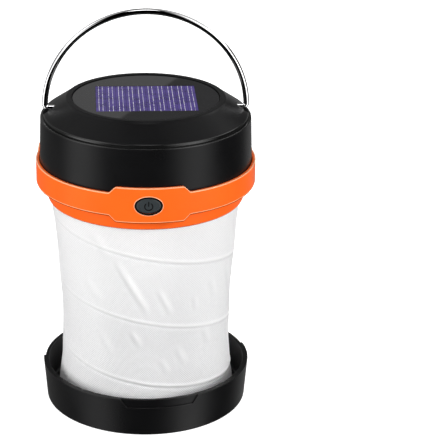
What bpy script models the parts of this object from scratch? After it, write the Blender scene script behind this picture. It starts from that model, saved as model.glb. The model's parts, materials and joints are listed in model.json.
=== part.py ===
"""Collapsible solar camping lantern.

A lamp head (black cap with a solar panel, orange ring with a power button) stands on a white fabric
shade that a coil spring holds open, and drops into a black base tray when it is pushed down.
Sizes below are in millimetres; Blender's own unit here is the metre. +Z is up, -Y is the front, and
the origin is the centre of the foot plane.
"""

import math

import bmesh
import bpy
from mathutils import Matrix, Vector

MM = 0.001
GAP = 0.3                        # clearance between pieces that touch
WELD = 1e-7                      # metres: points this close are one point
SEGMENTS = 60                    # sides of a large round piece

# Driving sizes
RING_RADIUS = 62.5               # outside of the orange ring
CLOSING_TRAVEL = 111.6           # how far the head drops to close
HEAD_TURN = 6.0                  # degrees that the head turns while it drops, which lines up the tabs

# Base tray
RIM_HEIGHT = 23.2
TRAY_TOP_RADIUS = 60.5
TRAY_FOOT_RADIUS = 58.7
TRAY_BORE = 57.5
TRAY_FLOOR = 3.0
TRAY_BOTTOM = 0.4
NOTCH_RADIUS = 59.4
NOTCH_DEPTH = 5.0
NOTCH_HALF = (18.4, 21.9)        # half angles at the notch's floor and at the rim
FOOT_CIRCLE = 53.0
FOOT_RADIUS = 4.0

# Orange ring
RING_TOP = 148.4
RING_LOW = 135.1
TAB_RISE = 3.7
TAB_DROP = 3.4
TAB_HALF = (17.5, 20.8)          # half angles at a tab's end and where it meets the ring
SOCKET_RADIUS = 60.75            # bore that takes the cap's wall
SHELF_TOP = 139.7
BAND_BORE = 54.4
BAND_LOW = 125.6

# Cap
CAP_LOW = SHELF_TOP + 1.6
ROOF_INSIDE = 179.4
SEAT = 182.2                     # where the solar cover lies
SEAT_RADIUS = 41.8
CAP_TOP = 184.2
CAP_WALL = ((59.6, 173.0), (60.4, 147.5))

# Solar cover and panel
PANEL_SIZE = (59.0, 46.0)
PANEL_CENTRE_Y = -2.2
PANEL_TOP = 183.6
PANEL_LOW = 181.2

# Handle
PIVOT_Z = 178.0
HANDLE_HALF_WIDTH = 57.0
HANDLE_RISE = 55.6
WIRE_RADIUS = 1.5
PIN_END = 47.0
POCKET_FLOOR = 52.5
POCKET_RADIUS = 4.4

# Power button
BUTTON_Z = 141.9
BUTTON_HALF = (7.4, 5.0)
BUTTON_FACE = -62.25
BUTTON_BACK = -58.8

# Charging flap at the back
FLAP_HALF_WIDTH = 11.7
FLAP_Z = (138.2, 146.4)
FLAP_RADII = (60.95, 62.35)
FLAP_HINGE = (-11.0, math.sqrt(61.65**2 - 11.0**2))

# Plates inside the head
CHASSIS_Z = (SHELF_TOP + GAP, 142.0)
CHASSIS_RADIUS = 57.9
REFLECTOR_Z = (135.4, 136.9)
CAP_BOSSES = ((43.5, -25.0), (-43.5, -25.0), (40.0, 33.0), (-40.0, 33.0))
RING_SCREWS = tuple(
    (56.0 * math.cos(math.radians(a)), 56.0 * math.sin(math.radians(a))) for a in (62, 118, -62, -118)
)
REFLECTOR_BOSSES = tuple(
    (30.0 * math.cos(math.radians(a)), 30.0 * math.sin(math.radians(a))) for a in (90, 210, 330)
)
WIRE_HOLE = (8.0, 0.0)
PANEL_HOLE = (18.0, 0.0)
BATTERY = (0.0, 14.0, 152.3)
BATTERY_RADIUS, BATTERY_LENGTH = 9.0, 65.0

# Shade: outside radius at each height, from the lower hoop to the ring
SHADE_PROFILE = (
    (3.6, 51.5), (9.4, 51.5), (22.0, 49.9), (38.0, 49.0), (48.0, 48.7),
    (66.0, 49.3), (94.0, 51.3), (115.0, 53.1), (125.0, 54.0), (134.5, 54.1),
)
SHADE_THICKNESS = 1.0
SPRING_WIRE = 0.7
COIL_PITCH = 38.0
COIL_TILT = 3.5                  # each turn leans this far, low to the right
COIL_START, COIL_END = -190, 900  # degrees of turn, counted from the front crossing below
COIL_FRONT_Z = 104.1
COIL_LOWEST = 12.6

FINISHES = {
    "black_plastic": ((0.012, 0.012, 0.013), 0.42, 0.0),
    "orange_plastic": ((0.95, 0.16, 0.02), 0.35, 0.0),
    "button_rubber": ((0.035, 0.045, 0.05), 0.5, 0.0),
    "cover_acrylic": ((0.06, 0.06, 0.06), 0.12, 0.0),
    "solar_cells": ((0.05, 0.03, 0.22), 0.15, 0.0),
    "handle_steel": ((0.75, 0.75, 0.76), 0.08, 1.0),
    "shade_fabric": ((0.86, 0.86, 0.86), 0.9, 0.0),
    "spring_steel": ((0.6, 0.6, 0.62), 0.3, 1.0),
    "white_plastic": ((0.82, 0.82, 0.8), 0.4, 0.0),
    "black_rubber": ((0.02, 0.02, 0.02), 0.75, 0.0),
    "screw_steel": ((0.5, 0.5, 0.5), 0.3, 1.0),
    "circuit_board": ((0.02, 0.16, 0.06), 0.45, 0.0),
    "chip_black": ((0.02, 0.02, 0.02), 0.4, 0.0),
    "socket_steel": ((0.6, 0.6, 0.6), 0.25, 1.0),
    "battery_wrap": ((0.03, 0.12, 0.3), 0.35, 0.0),
    "led_yellow": ((0.9, 0.75, 0.2), 0.3, 0.0),
    "opal_plastic": ((0.9, 0.9, 0.88), 0.3, 0.0),
    "red_wire": ((0.55, 0.03, 0.03), 0.5, 0.0),
    "black_wire": ((0.02, 0.02, 0.02), 0.5, 0.0),
}


# ---------------------------------------------------------------- tools

def finish(name):
    """The named material, made once."""
    material = bpy.data.materials.get(name)
    if material is None:
        colour, roughness, metallic = FINISHES[name]
        material = bpy.data.materials.new(name)
        material.use_nodes = True
        shader = material.node_tree.nodes["Principled BSDF"]
        shader.inputs["Base Color"].default_value = (*colour, 1)
        shader.inputs["Roughness"].default_value = roughness
        shader.inputs["Metallic"].default_value = metallic
    return material


def add(name, data, material):
    """Links a mesh or curve as an object; without a material it is a hidden helper."""
    piece = bpy.data.objects.new(name, data)
    bpy.context.scene.collection.objects.link(piece)
    if material is None:
        piece.hide_render = True
        piece.display_type = "WIRE"
    else:
        data.materials.append(finish(material))
    return piece


def from_bmesh(name, shape, material, smooth_angle=35):
    """Closes a bmesh in millimetres into an object in metres, with round parts shaded smooth."""
    bmesh.ops.scale(shape, vec=(MM, MM, MM), verts=shape.verts)
    bmesh.ops.remove_doubles(shape, verts=shape.verts, dist=WELD)
    bmesh.ops.recalc_face_normals(shape, faces=shape.faces)
    mesh = bpy.data.meshes.new(name)
    shape.to_mesh(mesh)
    shape.free()
    mesh.shade_smooth()
    mesh.set_sharp_from_angle(angle=math.radians(smooth_angle))
    return add(name, mesh, material)


def lofted(name, profile_at, angles, material):
    """A round solid whose profile may change with the angle, counted from the front towards +X.
    A profile that starts and ends on the axis gets flat ends there; any other closes on itself."""
    shape = bmesh.new()
    on_axis = profile_at(angles[0])[0][0] == 0
    loops = []
    for angle in angles:
        turn = math.radians(angle)
        profile = profile_at(angle)[1:-1] if on_axis else profile_at(angle)
        loops.append([shape.verts.new((r * math.sin(turn), -r * math.cos(turn), z)) for r, z in profile])
    count = len(loops[0])
    for here, following in zip(loops, loops[1:] + loops[:1]):
        for i in range(count - 1 if on_axis else count):
            j = (i + 1) % count
            shape.faces.new((here[i], here[j], following[j], following[i]))
    if on_axis:
        shape.faces.new([loop[0] for loop in loops])
        shape.faces.new([loop[-1] for loop in loops])
    return from_bmesh(name, shape, material)


def turned(name, profile, material, segments=SEGMENTS):
    """A solid of revolution about Z."""
    return lofted(name, lambda angle: profile, [360 * i / segments for i in range(segments)], material)


def block(name, low, high, material, bevel=0.0):
    """A box between two corners, with its edges bevelled."""
    shape = bmesh.new()
    bmesh.ops.create_cube(shape, size=1)
    size = [b - a for a, b in zip(low, high)]
    bmesh.ops.scale(shape, vec=size, verts=shape.verts)
    bmesh.ops.translate(shape, vec=[(a + b) / 2 for a, b in zip(low, high)], verts=shape.verts)
    if bevel:
        bmesh.ops.bevel(shape, geom=shape.edges[:], offset=bevel, segments=1, affect="EDGES")
    return from_bmesh(name, shape, material)


def posts(name, centres, radius, z_low, z_high, material=None, segments=16):
    """Upright cylinders, one for each centre, in one object."""
    shape = bmesh.new()
    for x, y in centres:
        bmesh.ops.create_cone(
            shape, cap_ends=True, segments=segments, radius1=radius, radius2=radius, depth=z_high - z_low,
            matrix=Matrix.Translation((x, y, (z_low + z_high) / 2)),
        )
    return from_bmesh(name, shape, material)


def side_posts(name, radius, x_inner, x_outer, z):
    """A mirrored pair of cylinders along X, as a helper."""
    shape = bmesh.new()
    for side in (-1, 1):
        place = Matrix.Translation((side * (x_inner + x_outer) / 2, 0, z)) @ Matrix.Rotation(math.pi / 2, 4, "Y")
        bmesh.ops.create_cone(
            shape, cap_ends=True, segments=24, radius1=radius, radius2=radius, depth=x_outer - x_inner,
            matrix=place,
        )
    return from_bmesh(name, shape, None)


def ovals(name, sections, z, material, segments=36):
    """Stacked ovals facing -Y: each section is (y, half width, half height)."""
    shape = bmesh.new()
    loops = []
    for y, half_x, half_z in sections:
        loops.append([
            shape.verts.new((half_x * math.cos(t), y, z + half_z * math.sin(t)))
            for t in (2 * math.pi * i / segments for i in range(segments))
        ])
    for here, following in zip(loops, loops[1:]):
        for i in range(segments):
            j = (i + 1) % segments
            shape.faces.new((here[i], here[j], following[j], following[i]))
    shape.faces.new(loops[0])
    shape.faces.new(loops[-1])
    return from_bmesh(name, shape, material)


def curved_block(name, radii, heights, centre, half, material, steps=8):
    """A block bent round the Z axis, centred on an angle from the front."""
    shape = bmesh.new()
    (inner, outer), (low, high) = radii, heights
    loops = []
    for i in range(steps + 1):
        turn = math.radians(centre - half + 2 * half * i / steps)
        loops.append([
            shape.verts.new((r * math.sin(turn), -r * math.cos(turn), z))
            for r, z in ((inner, low), (outer, low), (outer, high), (inner, high))
        ])
    for here, following in zip(loops, loops[1:]):
        for i in range(4):
            j = (i + 1) % 4
            shape.faces.new((here[i], here[j], following[j], following[i]))
    shape.faces.new(loops[0])
    shape.faces.new(loops[-1])
    return from_bmesh(name, shape, material)


def smooth_path(points, steps):
    """A Catmull-Rom curve through the points."""
    knots = [Vector(p) for p in points]
    knots = [2 * knots[0] - knots[1], *knots, 2 * knots[-1] - knots[-2]]
    path = []
    for a, b, c, d in zip(knots, knots[1:], knots[2:], knots[3:]):
        for i in range(steps):
            t = i / steps
            path.append(
                0.5 * (2 * b + (c - a) * t + (2 * a - 5 * b + 4 * c - d) * t**2 + (3 * b - a - 3 * c + d) * t**3)
            )
    return path + [knots[-2]]


def wire(name, points, radius, material, resolution=1, origin=(0, 0, 0)):
    """A round bar along the points, with filled ends."""
    curve = bpy.data.curves.new(name, "CURVE")
    curve.dimensions = "3D"
    curve.bevel_depth = radius * MM
    curve.bevel_resolution = resolution
    curve.use_fill_caps = True
    spline = curve.splines.new("POLY")
    spline.points.add(len(points) - 1)
    for knot, point in zip(spline.points, points):
        knot.co = (*((Vector(point) - Vector(origin)) * MM), 1)
    piece = add(name, curve, material)
    piece.location = Vector(origin) * MM
    return piece


def combine(piece, operation, *helpers):
    """Cuts helpers out of a piece, or joins them to it."""
    for helper in helpers:
        modifier = piece.modifiers.new(helper.name, "BOOLEAN")
        modifier.operation = operation
        modifier.object = helper


def cut(piece, *helpers):
    combine(piece, "DIFFERENCE", *helpers)


def join(piece, *helpers):
    combine(piece, "UNION", *helpers)


def set_origin(piece, origin):
    """Moves a mesh object's own origin without moving the shape."""
    piece.data.transform(Matrix.Translation(-Vector(origin) * MM))
    piece.location = Vector(origin) * MM


def screw(name, x, y, head_z, head_up, shank_end, head_radius=1.7, shank_radius=0.9, head_height=1.2):
    """A pan-head screw standing upright; head_z is where the head meets what it clamps."""
    step = head_height if head_up else -head_height
    profile = [(0, head_z + step), (head_radius * 0.8, head_z + step), (head_radius, head_z + step * 0.6),
               (head_radius, head_z), (shank_radius, head_z), (shank_radius, shank_end), (0, shank_end)]
    piece = turned(name, profile, "screw_steel", segments=12)
    piece.location = (x * MM, y * MM, 0)
    return piece


# ---------------------------------------------------------------- shapes that change round the ring

def share(angle, centre, half_narrow, half_wide):
    """1 inside the narrow half angle of a tab or notch, 0 outside the wide one, and even between."""
    nearest = min(abs((angle - centre - turn + 180) % 360 - 180) for turn in (0, 120, 240))
    return max(0.0, min(1.0, (half_wide - nearest) / (half_wide - half_narrow)))


def angles_with_breaks(centre, halves):
    """Even angles, with one at each corner of the three tabs or notches."""
    even = [360 * i / SEGMENTS for i in range(SEGMENTS)]
    breaks = [
        (centre + turn + sign * half) % 360 for turn in (0, 120, 240) for half in halves for sign in (-1, 1)
    ]
    far = [a for a in even if all(abs(a - b) > 1.0 for b in breaks) or a % 90 == 0]
    return sorted(far + breaks)


def ring_profile(angle):
    tab = share(angle, 0, *TAB_HALF)
    top, low = RING_TOP + TAB_RISE * tab, RING_LOW - TAB_DROP * tab
    return [
        (SOCKET_RADIUS, SHELF_TOP), (SOCKET_RADIUS, top), (RING_RADIUS - 0.8, top), (RING_RADIUS, top - 0.8),
        (RING_RADIUS, low + 0.6), (RING_RADIUS - 0.6, low), (59.9, low), (59.9, RING_LOW), (57.1, RING_LOW),
        (56.8, RING_LOW - 0.3), (56.0, BAND_LOW + 0.8), (55.2, BAND_LOW), (BAND_BORE, BAND_LOW),
        (BAND_BORE, SHELF_TOP),
    ]


def tray_profile(angle):
    notch = share(angle, HEAD_TURN, *NOTCH_HALF)
    ledge = RIM_HEIGHT - NOTCH_DEPTH * notch
    lean = (TRAY_TOP_RADIUS - TRAY_FOOT_RADIUS) / (RIM_HEIGHT - 0.9)
    return [
        (0, 1.2), (41.5, 1.2), (42.3, TRAY_BOTTOM), (TRAY_FOOT_RADIUS - 0.5, TRAY_BOTTOM),
        (TRAY_FOOT_RADIUS, 0.9), (TRAY_FOOT_RADIUS + lean * (ledge - 0.9), ledge), (NOTCH_RADIUS, ledge),
        (NOTCH_RADIUS, RIM_HEIGHT), (TRAY_BORE, RIM_HEIGHT), (TRAY_BORE - 0.2, 4.2), (56.5, TRAY_FLOOR),
        (0, TRAY_FLOOR),
    ]


def shade_radius(z):
    """Outside radius of the shade at a height."""
    for (z0, r0), (z1, r1) in zip(SHADE_PROFILE, SHADE_PROFILE[1:]):
        if z <= z1:
            return r0 + (r1 - r0) * (z - z0) / (z1 - z0)
    return SHADE_PROFILE[-1][1]


def coil_height(turn):
    """Height of the spring at a turn in degrees; the last turn flattens on to the retainer."""
    z = COIL_FRONT_Z - COIL_PITCH * turn / 360 - COIL_TILT * math.sin(math.radians(turn))
    flat = 5.0
    return COIL_LOWEST + flat * math.log(1 + math.exp((z - COIL_LOWEST - 2) / flat))


# ---------------------------------------------------------------- base

def make_base():
    tray = lofted("base_tray", tray_profile, angles_with_breaks(HEAD_TURN, NOTCH_HALF), "black_plastic")
    quarter = FOOT_CIRCLE * math.sqrt(0.5)
    feet = [(quarter, quarter), (-quarter, quarter), (-quarter, -quarter), (quarter, -quarter)]
    screws = [
        (46.2 * math.cos(math.radians(a)), 46.2 * math.sin(math.radians(a))) for a in (30, 150, 270)
    ]
    cut(
        tray,
        posts("foot_pocket_cutter", feet, FOOT_RADIUS + GAP, TRAY_BOTTOM - 1, 1.7),
        posts("tray_screw_cutter", screws, 1.1, 1.4, TRAY_FLOOR + 1, segments=12),
    )
    retainer = turned(
        "shade_retainer",
        [(44.6, 3.3), (44.6, 10.1), (49.3, 10.1), (49.3, 8.9), (47.9, 8.9), (47.9, 3.3)],
        "black_plastic",
    )
    cut(retainer, posts("retainer_screw_cutter", screws, 1.1, 2, 12, segments=12))
    pieces = [tray, retainer]
    for i, (x, y) in enumerate(feet, 1):
        pieces.append(posts(f"foot_pad_{i}", [(x, y)], FOOT_RADIUS, 0, 1.4, "black_rubber", segments=24))
    for i, (x, y) in enumerate(screws, 1):
        pieces.append(screw(f"retainer_screw_{i}", x, y, 10.4, True, 1.7, 1.5, 0.8))
    return pieces


# ---------------------------------------------------------------- shade

def make_shade():
    outside = [(r, z) for z, r in SHADE_PROFILE]
    inside = [(r - SHADE_THICKNESS, z) for z, r in reversed(SHADE_PROFILE)]
    fabric = turned("shade_fabric", outside + inside, "shade_fabric", segments=48)
    step = 13
    turns = range(COIL_START, COIL_END + 1, step)
    path = []
    for turn in turns:
        z = coil_height(turn)
        r = shade_radius(z) - SHADE_THICKNESS - GAP - SPRING_WIRE
        path.append((r * math.sin(math.radians(turn)), -r * math.cos(math.radians(turn)), z))
    spring = wire("shade_spring", path, SPRING_WIRE, "spring_steel")
    hoop = turned("shade_hoop_lower", [(48.2, 3.6), (48.2, 8.6), (50.2, 8.6), (50.2, 3.6)], "white_plastic")
    return [fabric, spring, hoop]


# ---------------------------------------------------------------- head shells

def make_cap():
    cap = turned(
        "top_cap",
        [
            (0, SEAT), (SEAT_RADIUS, SEAT), (SEAT_RADIUS, CAP_TOP - 0.3), (42.3, CAP_TOP), (44.8, CAP_TOP),
            (46.0, 183.2), (57.4, 175.2), (57.6, 174.8), (57.6, 173.8), (58.2, 173.1), (59.2, 173.4),
            CAP_WALL[0], CAP_WALL[1], (60.4, CAP_LOW), (58.3, CAP_LOW), (57.2, 172.2), (46.0, ROOF_INSIDE),
            (0, ROOF_INSIDE),
        ],
        "black_plastic",
    )
    join(cap, posts("cap_boss", CAP_BOSSES, 3.0, CHASSIS_Z[1] + GAP, 176.3))
    half_x, half_y = PANEL_SIZE[0] / 2 + 0.4, PANEL_SIZE[1] / 2 + 0.4
    cut(
        cap,
        posts("cap_screw_cutter", CAP_BOSSES, 1.2, 140, 154, segments=12),
        side_posts("handle_pocket_cutter", POCKET_RADIUS, POCKET_FLOOR, 66, PIVOT_Z),
        side_posts("handle_pin_cutter", WIRE_RADIUS + GAP, 40, 60, PIVOT_Z),
        block("panel_pocket_cutter", (-half_x, PANEL_CENTRE_Y - half_y, 180.9),
              (half_x, PANEL_CENTRE_Y + half_y, 190), None),
        posts("panel_wire_cutter", [PANEL_HOLE], 2.4, 175, 182),
        block("cap_button_cutter", (-10.5, -66, 135), (10.5, -50, 149), None),
        block("cap_charging_cutter", (-12.6, 50, 135), (12.6, 66, 147.2), None),
    )
    return cap


def make_solar_top():
    cover = turned(
        "solar_cover", [(0, SEAT + GAP), (41.5, SEAT + GAP), (41.5, 183.4), (41.2, 183.7), (0, 183.7)],
        "cover_acrylic",
    )
    half_x, half_y = PANEL_SIZE[0] / 2, PANEL_SIZE[1] / 2
    cut(cover, block("cover_window_cutter", (-half_x - GAP, PANEL_CENTRE_Y - half_y - GAP, 180),
                     (half_x + GAP, PANEL_CENTRE_Y + half_y + GAP, 190), None))
    panel = block("solar_panel", (-half_x, PANEL_CENTRE_Y - half_y, PANEL_LOW),
                  (half_x, PANEL_CENTRE_Y + half_y, PANEL_TOP), "solar_cells", bevel=0.15)
    return [cover, panel]


def make_ring():
    ring = lofted("lamp_ring", ring_profile, angles_with_breaks(0, TAB_HALF), "orange_plastic")
    cut(
        ring,
        ovals("button_hole_cutter", [(-66, BUTTON_HALF[0] + 0.35, BUTTON_HALF[1] + 0.35),
                                     (-58, BUTTON_HALF[0] + 0.35, BUTTON_HALF[1] + 0.35)], BUTTON_Z, None),
        curved_block("switch_pocket_cutter", (50, 60.55), (135.8, 149), 0, 10.5, None),
        block("charging_window_cutter", (-12.2, 50, FLAP_Z[0] - GAP), (12.2, 66, FLAP_Z[1] + GAP), None),
        posts("ring_screw_cutter", RING_SCREWS, 1.2, 136.4, 145, segments=12),
    )
    seal = turned("cap_seal", [(58.6, 140.0), (58.6, 141.0), (60.3, 141.0), (60.3, 140.0)], "black_rubber")
    cut(
        seal,
        block("seal_front_cutter", (-10.8, -66, 135), (10.8, -50, 149), None),
    )
    return [ring, seal]


def make_button():
    half_x, half_z = BUTTON_HALF
    button = ovals(
        "power_button",
        [
            (BUTTON_BACK, half_x + 0.9, half_z + 0.7), (BUTTON_BACK - 0.8, half_x + 0.9, half_z + 0.7),
            (BUTTON_BACK - 0.8, half_x, half_z), (BUTTON_FACE + 0.35, half_x, half_z),
            (BUTTON_FACE, half_x - 0.4, half_z - 0.4),
        ],
        BUTTON_Z, "button_rubber",
    )
    set_origin(button, (0, BUTTON_FACE, BUTTON_Z))
    return button


def make_flap():
    half = math.degrees(math.asin(FLAP_HALF_WIDTH / 61.65))
    flap = curved_block("charging_flap", FLAP_RADII, FLAP_Z, 180, half, "black_rubber")
    set_origin(flap, (*FLAP_HINGE, sum(FLAP_Z) / 2))
    return flap


def make_handle():
    elbow = 2.2
    right = [(PIN_END, 0, PIVOT_Z)]
    for step in range(5):
        turn = math.radians(90 * step / 4)
        right.append((HANDLE_HALF_WIDTH - elbow + elbow * math.sin(turn), 0,
                      PIVOT_Z + elbow - elbow * math.cos(turn)))
    arc_steps = 32
    first = math.asin(elbow / HANDLE_RISE)
    for step in range(1, arc_steps // 2):
        turn = first + (math.pi / 2 - first) * step / (arc_steps // 2)
        right.append((HANDLE_HALF_WIDTH * math.cos(turn), 0, PIVOT_Z + HANDLE_RISE * math.sin(turn)))
    left = [(-x, y, z) for x, y, z in reversed(right)]
    path = right + [(0, 0, PIVOT_Z + HANDLE_RISE)] + left
    return wire("carry_handle", path, WIRE_RADIUS, "handle_steel", resolution=2, origin=(0, 0, PIVOT_Z))


# ---------------------------------------------------------------- head inside

def make_chassis():
    low, top = CHASSIS_Z
    chassis = turned("chassis", [(0, low), (CHASSIS_RADIUS, low), (CHASSIS_RADIUS, top), (0, top)],
                     "white_plastic")
    board_feet = [(x, y) for x in (-20, 20) for y in (-27.5, -8.5)]
    join(
        chassis,
        posts("board_foot", board_feet, 2.0, low + 0.5, 145.7, segments=12),
        posts("reflector_boss", REFLECTOR_BOSSES, 2.5, REFLECTOR_Z[1] + GAP, top - 0.5, segments=12),
    )
    cut(
        chassis,
        block("chassis_front_cutter", (-10.8, -66, 130), (10.8, -50.5, 150), None),
        block("chassis_back_cutter", (-12.6, 44.5, 130), (12.6, 66, 150), None),
        posts("chassis_cap_screw_cutter", CAP_BOSSES, 1.2, 130, 150, segments=12),
        posts("chassis_ring_screw_cutter", RING_SCREWS, 1.2, 130, 150, segments=12),
        posts("chassis_wire_cutter", [WIRE_HOLE], 2.5, 130, 150),
        posts("reflector_screw_cutter", REFLECTOR_BOSSES, 1.2, 130, 141.2, segments=12),
    )
    pieces = [chassis]
    for i, (x, y) in enumerate(CAP_BOSSES, 1):
        pieces.append(screw(f"cap_screw_{i}", x, y, low - GAP, False, 152, 2.0))
    for i, (x, y) in enumerate(RING_SCREWS, 1):
        pieces.append(screw(f"ring_screw_{i}", x, y, top + GAP, True, 136.8))
    return pieces


def make_electronics():
    x, y, z = BATTERY
    half = BATTERY_LENGTH / 2
    cell = turned(
        "battery_cell",
        [(0, -half), (BATTERY_RADIUS - 0.5, -half), (BATTERY_RADIUS, 0.5 - half), (BATTERY_RADIUS, half - 1.5),
         (BATTERY_RADIUS - 0.6, half - 1.0), (3.2, half - 1.0), (3.2, half), (0, half)],
        "battery_wrap", segments=32,
    )
    cell.rotation_euler = (0, math.pi / 2, 0)
    cell.location = Vector(BATTERY) * MM
    cradle = block("battery_cradle", (x - 36, y - 9.6, CHASSIS_Z[1] + GAP), (x + 36, y + 9.6, 150),
                   "black_plastic", bevel=0.4)
    trough = turned("cradle_cutter", [(0, -33.1), (BATTERY_RADIUS + GAP, -33.1),
                                      (BATTERY_RADIUS + GAP, 33.1), (0, 33.1)], None, segments=32)
    trough.rotation_euler = (0, math.pi / 2, 0)
    trough.location = Vector(BATTERY) * MM
    cut(cradle, trough)
    pieces = [
        cell, cradle,
        block("control_board", (-23, -30, 146.0), (23, -6, 147.2), "circuit_board"),
        block("driver_chip", (-11, -20.5, 147.5), (-5, -15.5, 148.7), "chip_black", bevel=0.2),
        posts("driver_coil", [(6, -18)], 3.5, 147.5, 151.5, "chip_black", segments=20),
        block("switch_board", (-8, -53.4, 137.4), (8, -52.2, 147.6), "circuit_board"),
        make_tact_switch(),
        block("charging_board", (-9, 45, 139.5), (9, 56.3, 140.7), "circuit_board"),
        make_charging_socket(),
        make_charging_bezel(),
    ]
    return pieces + make_leads()


def make_tact_switch():
    """A square push switch with its round stem drawn out of the front face."""
    body = block("tact_switch", (-3, -57.0, BUTTON_Z - 3), (3, -53.7, BUTTON_Z + 3), "chip_black", bevel=0.2)
    stem = ovals("switch_stem_helper", [(-57.9, 1.7, 1.7), (-55.5, 1.7, 1.7)], BUTTON_Z, None, segments=16)
    join(body, stem)
    return body


def make_charging_socket():
    socket = block("charging_socket", (-3.8, 52.4, 141.0), (3.8, 58.2, 143.9), "socket_steel", bevel=0.5)
    cut(socket, block("charging_mouth_cutter", (-3.2, 53.6, 141.6), (3.2, 60, 143.3), None))
    return socket


def make_charging_bezel():
    bezel = block("charging_bezel", (-8.4, 56.6, 138.4), (8.4, 57.6, 146.2), "black_plastic")
    cut(bezel, block("bezel_cutter", (-4.3, 55, 140.5), (4.3, 62, 144.4), None))
    return bezel


def make_leads():
    """Six insulated leads: from the panel, from the battery and to the LED board."""
    leads = []
    for side, colour, pole in ((1, "red_wire", "positive"), (-1, "black_wire", "negative")):
        panel = [(18, side, 180.8), (18, side, 176), (17.5, side - 1, 168), (16, -8 + 2 * side, 158),
                 (14 + side, -15 + side, 151), (14 + side, -16 + side, 147.6)]
        battery = [(side * 34.6, 14, 150.5), (side * 35, 10, 153.5), (side * 34, 3, 153), (side * 28, -3, 151),
                   (side * 22, -9, 149), (side * 20.5, -12, 147.6)]
        led_x = WIRE_HOLE[0] + 0.9 * side
        lamp = [(led_x, -9, 145.4), (led_x, -6, 144.6), (led_x, -3, 143.9), (led_x, -0.8, 142.6),
                (led_x, 0, 141), (led_x, 0, 135.6)]
        for name, points in (("panel", panel), ("battery", battery), ("lamp", lamp)):
            leads.append(wire(f"{name}_lead_{pole}", smooth_path(points, 3), 0.55, colour))
    return leads


def make_lamp():
    low, top = REFLECTOR_Z
    reflector = turned("reflector_plate", [(0, low), (54.0, low), (54.0, top), (0, top)], "white_plastic")
    cut(
        reflector,
        posts("reflector_hole_cutter", REFLECTOR_BOSSES, 1.2, 130, 140, segments=12),
        posts("reflector_wire_cutter", [WIRE_HOLE], 2.2, 130, 140),
    )
    board = turned("led_board", [(0, 133.9), (18, 133.9), (18, 135.1), (0, 135.1)], "white_plastic", segments=36)
    diffuser = turned(
        "led_diffuser",
        [(0, 125.0), (17.5, 125.6), (22.0, 127.4), (24.0, 130.4), (24.0, 135.1), (22.6, 135.1), (22.6, 130.8),
         (21.0, 128.5), (17.0, 126.9), (0, 126.4)],
        "opal_plastic", segments=36,
    )
    hoop = turned("shade_hoop_upper", [(50.9, 127.5), (50.9, 133.5), (52.8, 133.5), (52.8, 127.5)],
                  "white_plastic")
    pieces = [reflector, board, diffuser, hoop]
    for i in range(6):
        led = block(f"led_{i + 1}", (9.6, -1.4, 132.8), (13.1, 1.4, 133.6), "led_yellow", bevel=0.15)
        led.rotation_euler = (0, 0, math.radians(60 * i + 30))
        pieces.append(led)
    for i, (x, y) in enumerate(REFLECTOR_BOSSES, 1):
        pieces.append(screw(f"reflector_screw_{i}", x, y, low - GAP, False, 140.6))
    return pieces


# ---------------------------------------------------------------- assembly

def group(name, pieces):
    """Parents a body's pieces to one empty, so that the body moves as one."""
    holder = bpy.data.objects.new(name, None)
    bpy.context.scene.collection.objects.link(holder)
    for piece in pieces:
        piece.parent = holder
    return holder


def main():
    for leftover in list(bpy.data.objects):
        bpy.data.objects.remove(leftover)
    base = group("base", make_base())
    shade = group("shade", make_shade())
    head = group("head", [make_cap(), *make_solar_top(), *make_ring(), *make_chassis(), *make_electronics(),
                          *make_lamp(), make_button(), make_flap(), make_handle()])
    shade.parent = base
    head.parent = shade


main()
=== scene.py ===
"""The look of the collapsible solar lantern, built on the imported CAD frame.

Sizes are in millimetres, read from the frame where the frame has them; MM turns them into metres.
Angles round the lantern are counted in degrees from the front (-Y) towards +X.
"""

import json
import math
import random

import bmesh
import bpy
import numpy as np
from mathutils import Matrix, Vector


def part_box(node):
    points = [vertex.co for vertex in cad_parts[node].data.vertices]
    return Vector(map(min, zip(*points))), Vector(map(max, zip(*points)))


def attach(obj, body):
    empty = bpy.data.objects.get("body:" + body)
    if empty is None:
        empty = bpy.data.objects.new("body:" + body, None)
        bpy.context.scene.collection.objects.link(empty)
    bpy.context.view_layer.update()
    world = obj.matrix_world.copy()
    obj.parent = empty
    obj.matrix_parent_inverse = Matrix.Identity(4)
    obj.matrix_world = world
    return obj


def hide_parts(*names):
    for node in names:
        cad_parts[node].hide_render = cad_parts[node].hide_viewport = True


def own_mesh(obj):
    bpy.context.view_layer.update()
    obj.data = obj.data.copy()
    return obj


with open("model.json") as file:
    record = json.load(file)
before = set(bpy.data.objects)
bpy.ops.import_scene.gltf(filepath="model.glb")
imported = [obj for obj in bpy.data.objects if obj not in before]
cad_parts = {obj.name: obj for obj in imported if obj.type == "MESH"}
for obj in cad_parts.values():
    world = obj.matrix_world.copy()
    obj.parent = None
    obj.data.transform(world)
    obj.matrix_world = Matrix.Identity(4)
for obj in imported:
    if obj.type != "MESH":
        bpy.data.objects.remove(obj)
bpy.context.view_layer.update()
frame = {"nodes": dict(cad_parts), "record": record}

MM = 0.001


def mm_box(node):
    """A CAD node's lowest and highest corners in millimetres."""
    low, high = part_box(node)
    return Vector(low) / MM, Vector(high) / MM


# ---------------------------------------------------------------- sizes

RING_BOX, CAP_BOX, TRAY_BOX = mm_box("lamp_ring"), mm_box("top_cap"), mm_box("base_tray")
PANEL_BOX, COVER_BOX, HANDLE_BOX = mm_box("solar_panel"), mm_box("solar_cover"), mm_box("carry_handle")
BUTTON_BOX, FLAP_BOX, SHADE_BOX = mm_box("power_button"), mm_box("charging_flap"), mm_box("shade_fabric")

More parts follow.
